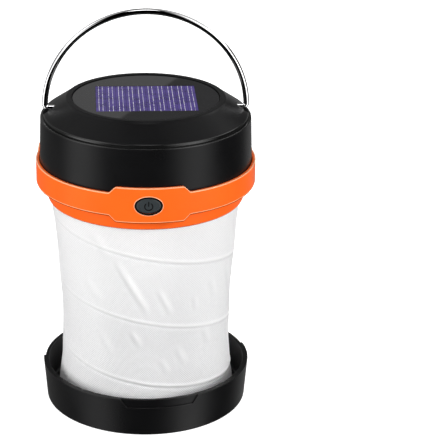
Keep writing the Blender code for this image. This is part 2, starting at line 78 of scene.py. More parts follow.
RING_RADIUS = RING_BOX[1].x
TAB_TOP = RING_BOX[1].z
BAND_LOW = RING_BOX[0].z
TAB_RISE, TAB_DROP = 3.7, 3.4
RING_TOP = TAB_TOP - TAB_RISE
RING_LOW = RING_TOP - 13.3
SHADOW_LINE = 0.55                      # height of the dark line of painted shadow recessed under the ring's wall
TAB_HALF = (17.5, 20.8)          # half angles at a tab's end and where it meets the ring
SHELF_TOP = RING_TOP - 8.7
BAND_BORE, BAND_RADIUS = 54.4, 57.1      # the inside of the ring's lower band, and its widest radius

CAP_LOW, CAP_TOP = CAP_BOX[0].z, CAP_BOX[1].z
CAP_RADIUS = CAP_BOX[1].x
COVER_SEAT, ROOF_UNDER = 182.2, 179.6    # heights of the seat under the cover and of the roof's underside
ROOF_RADIUS, DOME_RADIUS = 40.0, 46.0    # where the roof meets the cap's wall, and where the dome starts
SHOULDER_RADIUS, SHOULDER_Z = 57.9, 175.1    # the dome's lower edge, above the groove

RIM_HEIGHT, TRAY_BOTTOM = TRAY_BOX[1].z, TRAY_BOX[0].z
TRAY_RADIUS = TRAY_BOX[1].x
TRAY_FOOT_RADIUS = TRAY_RADIUS - 1.8
TRAY_FLOOR, TRAY_RECESS = 3.0, 1.2       # heights of the tray's floor inside and of the recess under it
HEAD_TURN = 6.0                  # the notches sit this far round from the tabs
NOTCH_HALF = (18.4, 21.9)
NOTCH_DEPTH = 5.0
NOTCH_RADIUS = TRAY_RADIUS - 1.1

PIVOT_Z = HANDLE_BOX[0].z + HANDLE_BOX[1].y
WIRE_RADIUS = HANDLE_BOX[1].y + 0.2
HANDLE_RISE = HANDLE_BOX[1].z - WIRE_RADIUS - PIVOT_Z
HANDLE_HALF_WIDTH = HANDLE_BOX[1].x - WIRE_RADIUS
PIN_END = 47.0

BUTTON_Z = (BUTTON_BOX[0].z + BUTTON_BOX[1].z) / 2
BUTTON_FACE = BUTTON_BOX[0].y
BUTTON_HALF = (6.95, 4.6)
BUTTON_X = -0.7                  # the button sits a little left of its tab's middle
CELL_BORDER = Vector((-1.2, -0.3, 0))     # how far the cells stop short of the panel's edge

# Outside radius of the shade at each height
SHADE_PROFILE = (
    (3.6, 51.5), (9.4, 51.5), (22.0, 49.9), (38.0, 49.0), (48.0, 48.7),
    (66.0, 49.3), (94.0, 51.3), (115.0, 53.1), (125.0, 54.0), (134.5, 54.1),
)
SHADE_LOW, SHADE_TOP = SHADE_BOX[0].z, SHADE_BOX[1].z
CLOTH = 0.35
GIRTH = 2 * math.pi * 51 * MM    # the girth that the weave is laid out on, in metres
# Height of the spring at each turn in degrees, before its tilt down towards the right
COIL_HEIGHTS = ((-200, 129.0), (0, 106.8), (360, 66.3), (720, 27.4), (800, 24.2), (930, 17.5), (1080, 12.8))
COIL_TILT = 3.5
COIL_START, COIL_END = -190, 1080
SPRING_WIRE = 0.7

CAMERA_AZIMUTH = math.radians(-2)


# ---------------------------------------------------------------- shape tools

def add(name, data, material, body, *nodes, slot=None, even_normals=True):
    """Links a mesh or curve as a piece that rides on a body and stands for CAD nodes. Even normals keep flat
    faces flat beside small fillets."""
    piece = bpy.data.objects.new(name, data)
    bpy.context.scene.collection.objects.link(piece)
    data.materials.append(material)
    if piece.type == "MESH" and even_normals:
        piece.modifiers.new("normals", "WEIGHTED_NORMAL").keep_sharp = True
    if body:
        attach(piece, body)
    if nodes:
        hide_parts(*nodes)
    return piece


def to_mesh(name, shape, sharp=40):
    """Closes a bmesh in millimetres into a smooth-shaded mesh in metres."""
    bmesh.ops.scale(shape, vec=(MM, MM, MM), verts=shape.verts)
    bmesh.ops.remove_doubles(shape, verts=shape.verts, dist=1e-7)
    bmesh.ops.recalc_face_normals(shape, faces=shape.faces)
    mesh = bpy.data.meshes.new(name)
    shape.to_mesh(mesh)
    shape.free()
    mesh.shade_smooth()
    mesh.set_sharp_from_angle(angle=math.radians(sharp))
    return mesh


def rounded(corners):
    """A closed outline from (r, z, fillet) corners, with each fillet drawn as a curve."""
    outline, steps = [], 5
    for i, (r, z, fillet) in enumerate(corners):
        here = Vector((r, z))
        if not fillet:
            outline.append(here)
            continue
        before, after = Vector(corners[i - 1][:2]), Vector(corners[(i + 1) % len(corners)][:2])
        start = here + (before - here).normalized() * min(fillet, (before - here).length * 0.48)
        end = here + (after - here).normalized() * min(fillet, (after - here).length * 0.48)
        for k in range(steps + 1):
            t = k / steps
            outline.append(start * (1 - t) ** 2 + here * 2 * t * (1 - t) + end * t**2)
    return outline


def around(radius, angle, z):
    """The point at a radius and an angle from the front."""
    turn = math.radians(angle)
    return radius * math.sin(turn), -radius * math.cos(turn), z


def bridge(shape, here, following, closed=True):
    """Faces between two rows of vertices, round to the start again when closed."""
    for i in range(len(here) if closed else len(here) - 1):
        j = (i + 1) % len(here)
        shape.faces.new((here[i], here[j], following[j], following[i]))


def lofted(name, outline_at, angles, sharp=40):
    """A round solid whose outline may change with the angle. An outline that starts and ends on the
    axis gets flat ends there; any other closes on itself."""
    shape = bmesh.new()
    on_axis = outline_at(angles[0])[0][0] == 0
    loops = []
    for angle in angles:
        outline = outline_at(angle)[1:-1] if on_axis else outline_at(angle)
        loops.append([shape.verts.new(around(r, angle, z)) for r, z in outline])
    for here, following in zip(loops, loops[1:] + loops[:1]):
        bridge(shape, here, following, closed=not on_axis)
    if on_axis:
        shape.faces.new([loop[0] for loop in loops])
        shape.faces.new([loop[-1] for loop in loops])
    return to_mesh(name, shape, sharp)


def turned(name, corners, sides=180):
    """A round solid with the same outline all the way round."""
    outline = rounded(corners)
    return lofted(name, lambda angle: outline, [360 * i / sides for i in range(sides)])


def block(name, low, high, bevel=0.0):
    shape = bmesh.new()
    bmesh.ops.create_cube(shape, size=1)
    bmesh.ops.scale(shape, vec=[b - a for a, b in zip(low, high)], verts=shape.verts)
    bmesh.ops.translate(shape, vec=[(a + b) / 2 for a, b in zip(low, high)], verts=shape.verts)
    if bevel:
        bmesh.ops.bevel(shape, geom=shape.edges[:], offset=bevel, segments=3, profile=0.5, affect="EDGES")
    return to_mesh(name, shape)


def oval_turns(sides=96):
    """Even turns round an oval, in radians."""
    return [2 * math.pi * i / sides for i in range(sides)]


def ovals(name, sections, x, z):
    """Stacked ovals facing -Y, centred at x and z: each section is (y, half width, half height)."""
    shape = bmesh.new()
    loops = []
    for y, half_x, half_z in sections:
        loops.append([shape.verts.new((x + half_x * math.cos(t), y, z + half_z * math.sin(t)))
                      for t in oval_turns()])
    for here, following in zip(loops, loops[1:]):
        bridge(shape, here, following)
    shape.faces.new(loops[0])
    shape.faces.new(loops[-1])
    return to_mesh(name, shape)


def cylinder(name, radius, start, end):
    """A cylinder between two points, in millimetres."""
    start, end = Vector(start), Vector(end)
    way = (end - start).to_track_quat("Z", "Y").to_matrix().to_4x4()
    shape = bmesh.new()
    bmesh.ops.create_cone(shape, cap_ends=True, segments=48, radius1=radius, radius2=radius,
                          depth=(end - start).length, matrix=Matrix.Translation((start + end) / 2) @ way)
    return to_mesh(name, shape)


def tube(name, points, radius, material, body, *nodes, slot=None, closed=False, sides=5):
    """A round bar along points in millimetres."""
    curve = bpy.data.curves.new(name, "CURVE")
    curve.dimensions = "3D"
    curve.bevel_depth = radius * MM
    curve.bevel_resolution = sides
    curve.use_fill_caps = not closed
    spline = curve.splines.new("POLY")
    spline.points.add(len(points) - 1)
    for knot, point in zip(spline.points, points):
        knot.co = (*(Vector(point) * MM), 1)
    spline.use_cyclic_u = closed
    return add(name, curve, material, body, *nodes, slot=slot)


def frozen(piece):
    """A mesh of the piece as its modifiers leave it."""
    return bpy.data.meshes.new_from_object(piece.evaluated_get(bpy.context.evaluated_depsgraph_get()))


def paint(mesh, look, chosen):
    """A further look for the faces that chosen(radius, height, face) picks, in millimetres."""
    mesh.materials.append(look)
    for face in mesh.polygons:
        x, y, z = face.center / MM
        if chosen(math.hypot(x, y), z, face):
            face.material_index = len(mesh.materials) - 1


def carve(mesh, *cutters):
    """The mesh with the cutter meshes taken out of it."""
    piece = bpy.data.objects.new("carving", mesh)
    bpy.context.scene.collection.objects.link(piece)
    helpers = []
    for cutter in cutters:
        helper = bpy.data.objects.new("cutter", cutter)
        bpy.context.scene.collection.objects.link(helper)
        modifier = piece.modifiers.new("cut", "BOOLEAN")
        modifier.object = helper
        helpers.append(helper)
    result = frozen(piece)
    for leftover in [piece, *helpers]:
        bpy.data.objects.remove(leftover)
    result.shade_smooth()
    result.set_sharp_from_angle(angle=math.radians(32))
    return result


# ---------------------------------------------------------------- material tools

class Graph:
    """Adds shader nodes to a tree; self.place is where its textures are looked up."""

    def __init__(self, tree, coordinates):
        self.tree = tree
        self.place = self.node("ShaderNodeTexCoord").outputs[coordinates]

    def node(self, kind, *inputs, **settings):
        made = self.tree.nodes.new(kind)
        for key, value in settings.items():
            setattr(made, key, value)
        for socket, value in zip(made.inputs, inputs):
            if isinstance(value, bpy.types.NodeSocket):
                self.tree.links.new(value, socket)
            elif value is not None:
                socket.default_value = value
        return made

    def math(self, operation, *inputs):
        return self.node("ShaderNodeMath", *inputs, operation=operation).outputs[0]

    def times(self, *inputs):
        return self.math("MULTIPLY", *inputs)

    def plus(self, *inputs):
        return self.math("ADD", *inputs)

    def spread(self, value, low, high, to_low=0.0, to_high=1.0, ease=False):
        """Maps a value from one range to another, clamped."""
        shape = "SMOOTHSTEP" if ease else "LINEAR"
        return self.node("ShaderNodeMapRange", value, low, high, to_low, to_high, interpolation_type=shape).outputs[0]

    def noise(self, scale, detail=3.0, place=None):
        made = self.node("ShaderNodeTexNoise")
        made.inputs["Scale"].default_value = scale
        made.inputs["Detail"].default_value = detail
        made.inputs["Roughness"].default_value = 0.55
        self.tree.links.new(place or self.place, made.inputs["Vector"])
        return made.outputs["Fac"]

    def mix(self, share, first, second):
        """A colour between two colours, each a tuple or a socket."""
        made = self.node("ShaderNodeMix", data_type="RGBA")
        for socket, value in ((made.inputs["Factor"], share), (made.inputs[6], first), (made.inputs[7], second)):
            if isinstance(value, bpy.types.NodeSocket):
                self.tree.links.new(value, socket)
            else:
                socket.default_value = (*value, 1) if isinstance(value, tuple) else value
        return made.outputs[2]

    def parts(self, place=None):
        """The x, y and z of a place."""
        return self.node("ShaderNodeSeparateXYZ", place or self.place).outputs

    def blend(self, share, first, second):
        """A shader between two shaders."""
        return self.node("ShaderNodeMixShader", share, first, second).outputs[0]


class Look(Graph):
    """Builds one material: a Principled shader with procedural detail in object space."""

    def __init__(self, name, colour, roughness, metallic=0.0, **sockets):
        self.material = bpy.data.materials.new(name)
        self.material.use_nodes = True
        super().__init__(self.material.node_tree, "Object")
        self.shader = self.tree.nodes["Principled BSDF"]
        self.set("Base Color", (*colour, 1))
        self.set("Roughness", roughness)
        self.set("Metallic", metallic)
        for socket, value in sockets.items():
            self.set(socket.replace("_", " "), value)

    def set(self, socket, value):
        if isinstance(value, bpy.types.NodeSocket):
            self.tree.links.new(value, self.shader.inputs[socket])
        else:
            self.shader.inputs[socket].default_value = value

    def bump(self, height, distance, strength=1.0):
        made = self.node("ShaderNodeBump")
        made.inputs["Strength"].default_value = strength
        made.inputs["Distance"].default_value = distance
        self.tree.links.new(height, made.inputs["Height"])
        self.tree.links.new(made.outputs["Normal"], self.shader.inputs["Normal"])


def grained(name, colour, roughness, grain=0.00002, scale=2600, **sockets):
    """A moulded or plain surface: fine grain this many metres deep, uneven gloss and slightly uneven colour."""
    look = Look(name, colour, roughness, **sockets)
    fine, broad = look.noise(scale, 2.0), look.noise(35, 4.0)
    look.bump(fine, grain, 0.5)
    look.set("Roughness", look.spread(broad, 0.3, 0.7, roughness - 0.04, roughness + 0.05))
    darker = tuple(c * 0.9 for c in colour)
    look.set("Base Color", look.mix(look.spread(broad, 0.35, 0.65), darker, colour))
    return look.material


def brushed(name, colour, roughness):
    """Metal with fine turning marks."""
    look = Look(name, colour, roughness, 1.0)
    stretched = look.node("ShaderNodeMapping", look.place)
    stretched.inputs["Scale"].default_value = (1, 1, 14)
    marks = look.noise(900, 3.0, place=stretched.outputs[0])
    look.set("Roughness", look.spread(marks, 0.3, 0.7, roughness - 0.06, roughness + 0.1))
    look.bump(marks, 0.00001, 0.4)
    return look.material


def chrome():
    look = Look("bright_chrome", (0.85, 0.85, 0.86), 0.05, 1.0)
    look.set("Roughness", look.spread(look.noise(300, 3.0), 0.35, 0.7, 0.03, 0.09))
    look.set("Base Color", look.mix(look.noise(60), (0.82, 0.82, 0.83), (0.92, 0.92, 0.92)))
    return look.material


def cover_look():
    """Glossy dark acrylic with faint dust."""
    look = Look("dark_acrylic", (0.02, 0.02, 0.02), 0.02)
    dust = look.spread(look.noise(1500, 2.0), 0.62, 0.72)
    look.set("Base Color", look.mix(dust, (0.016, 0.016, 0.017), (0.024, 0.024, 0.024)))
    look.set("Roughness", look.spread(look.noise(90, 3.0), 0.3, 0.7, 0.01, 0.03))
    return look.material


def cell_look():
    """Blue-violet cells in a row: two dashed bars on each, fine fingers across, a crystal mottle and a dark
    border. Places across a cell are shares of its width."""
    cells, bar_place, bar_half = 10, 0.19, 0.02
    finger_pitch, dash_pitch = 1.15 * MM, 4.4 * MM
    look = Look("solar_cells", (0.1, 0.06, 0.4), 0.16, Specular_IOR_Level=0.4)
    x, y, _ = look.parts()
    half = (PANEL_BOX[1].x + CELL_BORDER.x) * MM
    across = look.math("FRACT", look.math("DIVIDE", look.plus(x, half), 2 * half / cells))
    crystal = look.node("ShaderNodeTexVoronoi", look.place)
    crystal.inputs["Scale"].default_value = 900
    tone = look.mix(look.spread(look.noise(160), 0.35, 0.65), (0.026, 0.015, 0.115), (0.062, 0.036, 0.22))
    tone = look.mix(look.times(crystal.outputs["Distance"], 0.3), tone, (0.12, 0.08, 0.36))
    fingers = look.math("FRACT", look.math("DIVIDE", y, finger_pitch))
    tone = look.mix(look.spread(fingers, 0.8, 0.95, 0, 0.14), tone, (0.25, 0.22, 0.55))
    middle = look.math("ABSOLUTE", look.math("SUBTRACT", across, 0.5))
    tone = look.mix(look.spread(middle, 0.47, 0.49), tone, (0.015, 0.01, 0.07))
    shift = look.times(look.noise(500, 1.0), 3.0)
    dashes = look.math("FRACT", look.plus(look.math("DIVIDE", y, dash_pitch), shift))
    dashes = look.spread(dashes, 0.62, 0.8, 1.0, 0.1)
    away = look.math("ABSOLUTE", look.math("SUBTRACT", middle, bar_place))
    line = look.times(look.spread(away, bar_half * 0.6, bar_half * 1.4, 1, 0), dashes)
    look.set("Base Color", look.mix(line, tone, (0.95, 0.93, 1.0)))
    return look.material


def cloth_look():
    """White coated cloth, woven plain: the threads follow the sheet's own flat layout, in its UV map. Its ridges over
    the spring carry a painted highlight and the crease under each a painted shade; it is painted whiter near its
    foot, and painted shade lies in three lobes above that."""
    look = Look("woven_white", (0.9, 0.9, 0.9), 0.85, Sheen_Weight=0.1)
    flat = look.node("ShaderNodeUVMap", uv_map="flat").outputs[0]
    along, up, _ = look.parts(flat)
    thread = 1.35 * MM
    warp = look.math("SINE", look.times(along, 2 * math.pi / thread))
    weft = look.math("SINE", look.times(up, 2 * math.pi / thread))
    uneven = look.noise(420, 2.0)
    over = look.plus(look.times(warp, weft), look.times(uneven, 0.6))
    height = look.plus(look.times(over, 0.5), look.math("ABSOLUTE", weft))
    look.bump(height, 0.00018, 0.8)
    holes = look.spread(over, -0.65, 0.5, 1, 0)
    slack = look.spread(up, 0.035, 0.1, 0.9, 0.35)
    tone_and_lit_foot = look.mix(look.noise(28, 3.0), (0.88, 0.88, 0.883), (0.93, 0.93, 0.933))
    # Painted light: the cloth is whiter near its foot, against the shadow of the tray
    tone_and_lit_foot = look.mix(look.spread(up, 0.012, 0.03, 1, 0), tone_and_lit_foot, (0.99, 0.99, 0.99))
    tone = look.mix(look.times(holes, slack), tone_and_lit_foot, (0.54, 0.54, 0.55))
    lobes = look.math("COSINE", look.times(along, 3 * 2 * math.pi / GIRTH))
    # Painted shade in three lobes round the cloth, from about 20 mm up, fading out by 100 mm
    foot_shade = look.times(look.spread(up, 0.02, 0.032, 0, 0.34), look.spread(up, 0.055, 0.1, 1, 0))
    foot_shade = look.times(foot_shade, look.spread(lobes, -0.7, 0.4, 1, 0.1))
    tone = look.mix(foot_shade, tone, (0.62, 0.62, 0.63))
    # Painted shade in the creases under the ridges and beside the pulls
    crease_shade = look.node("ShaderNodeAttribute", attribute_name="crease_shade").outputs["Fac"]
    tone = look.mix(crease_shade, tone, (0.52, 0.52, 0.53))
    # Painted highlight on the crests of the ridges and pulls
    crest_highlight = look.node("ShaderNodeAttribute", attribute_name="crest_highlight").outputs["Fac"]
    look.set("Base Color", look.mix(crest_highlight, tone, (0.97, 0.97, 0.97)))
    glow = look.node("ShaderNodeBsdfTranslucent", (0.9, 0.9, 0.9, 1)).outputs[0]
    both = look.blend(0.18, look.shader.outputs[0], glow)
    look.tree.links.new(both, look.tree.nodes["Material Output"].inputs["Surface"])
    return look.material


def board_look():
    """Green circuit board with paler tracks."""
    look = Look("circuit_board", (0.01, 0.14, 0.05), 0.35, Coat_Weight=0.3)
    tracks = look.node("ShaderNodeTexVoronoi", look.place, feature="DISTANCE_TO_EDGE", distance="MANHATTAN")
    tracks.inputs["Scale"].default_value = 380
    line = look.spread(tracks.outputs["Distance"], 0.04, 0.1, 1, 0)
    look.set("Base Color", look.mix(line, (0.008, 0.12, 0.045), (0.03, 0.26, 0.1)))
    look.bump(line, 0.00003, 0.5)
    return look.material


def battery_look():
    """Shrink sleeve: smooth blue with a paler band near one end."""
    look = Look("battery_sleeve", (0.02, 0.08, 0.3), 0.3, Coat_Weight=0.3)
    x = look.parts()[0]
    band = look.times(look.spread(x, 0.022, 0.0222), look.spread(x, 0.027, 0.0272, 1, 0))
    look.set("Base Color", look.mix(band, (0.02, 0.09, 0.33), (0.7, 0.72, 0.75)))
    look.bump(look.noise(260, 4.0), 0.00005, 0.4)
    return look.material


def make_looks():
    return {
        "black": grained("satin_black", (0.004, 0.004, 0.0043), 0.3, 0.00003, Specular_IOR_Level=0.15),
        # Glossier than satin black, and a touch lighter in colour: partly a painted highlight on the cap's shoulder
        # and the tray's rim fillets
        "polished": grained("polished_black_painted_highlight", (0.006, 0.006, 0.006), 0.16, 0.00001, Specular_IOR_Level=0.45),
        # Lighter than the tray's outside black: painted light on the tray's inner wall
        "inside": grained("inner_black_painted_light", (0.032, 0.032, 0.033), 0.5, 0.00004, Specular_IOR_Level=0.4),
        "orange": grained("satin_orange", (0.94, 0.126, 0.011), 0.32, 0.00002, Specular_IOR_Level=0.12),
        # Pale orange: painted highlight on the ring's edges and round the button
        "edge": grained("painted_highlight_orange", (1.0, 0.4, 0.2), 0.3, 0.00002),
        # Dark orange-brown: painted shadow for the lines under the ring's wall and round the bottom of its band
        "shadow_line": grained("painted_shadow_orange", (0.3, 0.045, 0.006), 0.6, Specular_IOR_Level=0.1),
        "chrome": chrome(),
        "cover": cover_look(),
        "cells": cell_look(),
        "cloth": cloth_look(),
        "button": grained("grey_rubber", (0.03, 0.036, 0.039), 0.36, 0.00001, 4000),
        # Black for the printed power symbol, and for the painted shadow in the gap round the button
        "symbol": grained("symbol_and_gap_shadow_black", (0.002, 0.002, 0.002), 0.5, Specular_IOR_Level=0.1),
        "rubber": grained("matt_rubber", (0.014, 0.014, 0.014), 0.72, 0.00004, 1500),
        "white": grained("white_plastic", (0.82, 0.82, 0.8), 0.4),
        "steel": brushed("zinc_steel", (0.6, 0.6, 0.6), 0.28),
        "spring": brushed("spring_wire", (0.7, 0.7, 0.72), 0.25),
        "socket": brushed("tinned_steel", (0.68, 0.68, 0.68), 0.22),
        "board": board_look(),
        "chip": grained("moulded_chip", (0.015, 0.015, 0.016), 0.45, 0.00003, 3000),
        "battery": battery_look(),
        "phosphor": grained("led_phosphor", (0.9, 0.72, 0.12), 0.3, 0.00002, 2500),
        "opal": grained("opal_plastic", (0.9, 0.9, 0.88), 0.3, Subsurface_Weight=0.3, Subsurface_Scale=0.002),
        "red": grained("red_insulation", (0.5, 0.02, 0.02), 0.4),
        "dark": grained("black_insulation", (0.015, 0.015, 0.015), 0.4),
    }


# ---------------------------------------------------------------- shapes that change round the ring

def share(angle, centre, half_narrow, half_wide):
    """1 inside the narrow half angle of a tab or notch, 0 outside the wide one, with eased corners."""
    ease = 0.45
    total = 0.0
    for nudge in (-ease, -ease / 2, 0, ease / 2, ease):
        nearest = min(abs((angle + nudge - centre - turn + 180) % 360 - 180) for turn in (0, 120, 240))
        total += max(0.0, min(1.0, (half_wide - nearest) / (half_wide - half_narrow)))
    return total / 5


def ring_angles(centre, halves, even=240):
    """Even angles, with closer ones along the slanting ends of the three tabs or notches."""
    low, high = halves[0] - 0.8, halves[1] + 0.8
    angles = {round(360 * i / even, 3) for i in range(even)}
    for turn in (0, 120, 240):
        for sign in (-1, 1):
            for i in range(17):
                angles.add(round((centre + turn + sign * (low + (high - low) * i / 16)) % 360, 3))
    kept = []
    for angle in sorted(angles):
        if not kept or angle - kept[-1] > 0.08:
            kept.append(angle)
    return kept


def ring_outline(angle):
    tab = share(angle, 0, *TAB_HALF)
    top, low = RING_TOP + TAB_RISE * tab, RING_LOW - TAB_DROP * tab
    bore, recess, step = CAP_RADIUS + 0.3, RING_RADIUS - 0.5, RING_RADIUS - 2.6
    band_top = RING_LOW - 0.01
    return rounded([
        (bore, SHELF_TOP, 0), (bore, top, 0.25), (RING_RADIUS, top, 0.6), (RING_RADIUS, low + SHADOW_LINE, 0.35),
        (recess, low + SHADOW_LINE, 0), (recess, low, 0), (step, low, 0), (step, band_top, 0),
        (BAND_RADIUS, band_top, 0.2), (BAND_RADIUS - 1.0, BAND_LOW + 0.9, 0.4),
        (BAND_RADIUS - 1.5, BAND_LOW, 0.4), (BAND_BORE, BAND_LOW, 0.3), (BAND_BORE, SHELF_TOP, 0),
    ])


def shadow_line_outline(angle):
    """A thin dark lip in the recess under the ring's wall, following the tabs: painted shadow."""
    low = RING_LOW - TAB_DROP * share(angle, 0, *TAB_HALF)
    outer = RING_RADIUS - 0.28
    return [Vector(p) for p in ((outer - 1, low), (outer, low), (outer, low + SHADOW_LINE), (outer - 1, low + SHADOW_LINE))]


def top_edge_outline(angle):
    """The rounded top edge of the ring's wall, paler than the rest: a painted highlight."""
    top = RING_TOP + TAB_RISE * share(angle, 0, *TAB_HALF)
    outer = RING_RADIUS + 0.02
    return rounded([(outer - 0.8, top - 0.6, 0), (outer - 0.8, top + 0.03, 0.05), (outer, top + 0.03, 0.5),
                    (outer, top - 0.55, 0)])


def low_edge_outline(angle):
    """The lower edge of the ring's wall, just above the dark line of painted shadow, paler: a painted highlight."""
    low = RING_LOW + SHADOW_LINE - TAB_DROP * share(angle, 0, *TAB_HALF)
    outer = RING_RADIUS + 0.02
    return rounded([(outer - 0.5, low - 0.02, 0), (outer, low - 0.02, 0.2), (outer, low + 0.4, 0),
                    (outer - 0.5, low + 0.4, 0)])


def tray_outline(angle):
    notch = share(angle, HEAD_TURN, *NOTCH_HALF)
    ledge = RIM_HEIGHT - NOTCH_DEPTH * notch
    foot = TRAY_BOTTOM + 0.5
    lean = (TRAY_RADIUS - TRAY_FOOT_RADIUS) / (RIM_HEIGHT - foot)
    side = TRAY_FOOT_RADIUS + lean * (ledge - foot)
    bore = TRAY_RADIUS - 3.0
    return [Vector((0, TRAY_RECESS))] + rounded([
        (41.5, TRAY_RECESS, 0.2), (42.3, TRAY_BOTTOM, 0.2), (TRAY_FOOT_RADIUS - 0.1, TRAY_BOTTOM, 0.9),
        (side, ledge, 0.3), (NOTCH_RADIUS, ledge + 0.01, 0), (NOTCH_RADIUS, RIM_HEIGHT, 0.35),
        (bore, RIM_HEIGHT, 0.4), (bore - 0.2, TRAY_FLOOR, 1.6), (45.0, TRAY_FLOOR, 0),
    ]) + [Vector((0, TRAY_FLOOR))]


# ---------------------------------------------------------------- pieces

def flap_window():
    """The opening in the ring that the charging flap fills."""
    return block("flap_window", (-12.2, 57, FLAP_BOX[0].z - 0.3), (12.2, 66, FLAP_BOX[1].z + 0.3))


def panel_block(name, grow, bevel=0.0):
    """The solar panel's block, grown on each side."""
    low, high = PANEL_BOX
    return block(name, low - grow, high + grow, bevel)


def make_cap(looks):
    """The cap's dome and wall, with a pocket and a pin hole at each handle foot, and the roof under the cover."""
    seat_radius = COVER_BOX[1].x + 0.3
    groove_z, wall_top = SHOULDER_Z - 1.9, SHOULDER_Z - 1.6
    cap = turned("cap", [
        (ROOF_RADIUS, COVER_SEAT, 0), (seat_radius, COVER_SEAT, 0), (seat_radius, CAP_TOP, 0.25),
        (seat_radius + 3.1, CAP_TOP, 0.4), (DOME_RADIUS, CAP_TOP - 1.0, 0.5),
        (SHOULDER_RADIUS, SHOULDER_Z, 0.5), (SHOULDER_RADIUS + 0.05, SHOULDER_Z - 1.4, 0),
        (SHOULDER_RADIUS + 0.05, groove_z, 0), (SHOULDER_RADIUS + 0.35, groove_z, 0),
        (SHOULDER_RADIUS + 0.4, wall_top, 0.1), (CAP_RADIUS - 0.8, wall_top, 0.6),
        (CAP_RADIUS, 147.5, 0), (CAP_RADIUS, CAP_LOW, 0), (CAP_RADIUS - 2.1, CAP_LOW, 0), (57.0, 171.8, 1.0),
        (DOME_RADIUS, ROOF_UNDER, 1.0), (ROOF_RADIUS, ROOF_UNDER, 0),
    ], 240)
    bores = [cylinder(name, radius, (side * start, 0, PIVOT_Z), (side * end, 0, PIVOT_Z))
             for name, radius, start, end in (("pocket", 4.4, 55.1, 66), ("pin_hole", WIRE_RADIUS + 0.3, 44, 60))
             for side in (-1, 1)]
    charging = block("charging_pocket", (-12.6, 50, 135), (12.6, 66, 147.2))
    cap = carve(cap, *bores, charging)
    add("cap_shell", cap, looks["black"], "head", "top_cap", slot="black_plastic")
    # The shoulder round the groove is glossier and a touch lighter: partly a painted highlight
    paint(cap, looks["polished"], lambda radius, z, face: (
        radius > SHOULDER_RADIUS - 0.7 and SHOULDER_Z - 2.3 < z < SHOULDER_Z + 0.8))
    edge = ROOF_RADIUS + 0.1
    roof = turned("roof", [(0, COVER_SEAT, 0), (edge, COVER_SEAT, 0), (edge, ROOF_UNDER, 0), (0, ROOF_UNDER, 0)], 96)
    roof = carve(roof, panel_block("roof_window", Vector((0.4, 0.4, 5))))
    add("cap_roof", roof, looks["black"], "head", slot="black_plastic")


def make_solar_disc(looks):
    """The glossy cover with its window, and the plate of cells in it."""
    (_, _, low), (radius, _, high) = COVER_BOX
    cover = turned("cover", [(0, low, 0), (radius, low, 0), (radius, high, 0.35), (0, high, 0)], 240)
    cover = carve(cover, panel_block("window", Vector((0.05, 0.05, 5)) + CELL_BORDER))
    add("solar_disc", cover, looks["cover"], "head", "solar_cover", slot="cover_acrylic")
    cells = add("cell_plate", panel_block("cells", CELL_BORDER, bevel=0.05), looks["cells"], "head", "solar_panel",
                slot="solar_cells")
    cells.visible_glossy = False


def make_ring(looks):
    """The ring with the openings for the button and the flap, a dark lip of painted shadow under its wall, pale
    strips of painted highlight along its top and lower edges, and a dark lip of painted shadow round the bottom of
    its band.
    """
    angles = ring_angles(0, TAB_HALF)
    ring = lofted("ring", ring_outline, angles, 32)
    wide, tall = BUTTON_HALF[0] + 0.35, BUTTON_HALF[1] + 0.35
    hole = ovals("button_hole", [(BUTTON_FACE - 4, wide, tall), (-58, wide, tall)], BUTTON_X, BUTTON_Z)
    ring = carve(ring, hole, flap_window())
    add("ring_shell", ring, looks["orange"], "head", "lamp_ring", slot="orange_plastic")
    # A dark lip of painted shadow under the ring's wall
    shadow_line = lofted("shadow_line", shadow_line_outline, angles, 32)
    add("ring_shadow_line", shadow_line, looks["shadow_line"], "head", slot="orange_plastic")
    # Pale strips of painted highlight along the top and lower edges of the wall
    for name, outline in (("ring_top_highlight", top_edge_outline), ("ring_low_highlight", low_edge_outline)):
        edge = carve(lofted(name, outline, angles, 32), flap_window())
        add(name, edge, looks["edge"], "head", slot="orange_plastic")
    # A dark lip of painted shadow round the bottom of the band
    low, high = BAND_LOW - 0.02, BAND_LOW + 0.35
    lip = turned("lip", [(BAND_BORE + 0.2, low, 0), (BAND_RADIUS - 1.55, low, 0), (BAND_RADIUS - 1.35, high, 0.1),
                         (BAND_BORE + 0.2, high, 0)])
    add("band_shadow_lip", lip, looks["shadow_line"], "head", slot="orange_plastic")


def make_tray(looks):
    """The tray: matt inside and painted lighter there, as painted light on its inner wall; polished on the fillets of
    its rim, which are also a touch lighter as a painted highlight.
    """
    tray = lofted("tray", tray_outline, ring_angles(HEAD_TURN, NOTCH_HALF), 32)
    add("tray_shell", tray, looks["black"], "base", "base_tray", slot="black_plastic")
    # The inside is painted lighter: painted light on the inner wall
    paint(tray, looks["inside"], lambda radius, z, face: radius < TRAY_RADIUS - 2.9 and z > TRAY_FLOOR + 0.1)
    # The rim's fillets are glossier and a touch lighter: partly a painted highlight
    paint(tray, looks["polished"], lambda radius, z, face: (
        radius > NOTCH_RADIUS - 0.3 and z > RIM_HEIGHT - NOTCH_DEPTH - 0.5 and 0.2 < face.normal.z < 0.95))


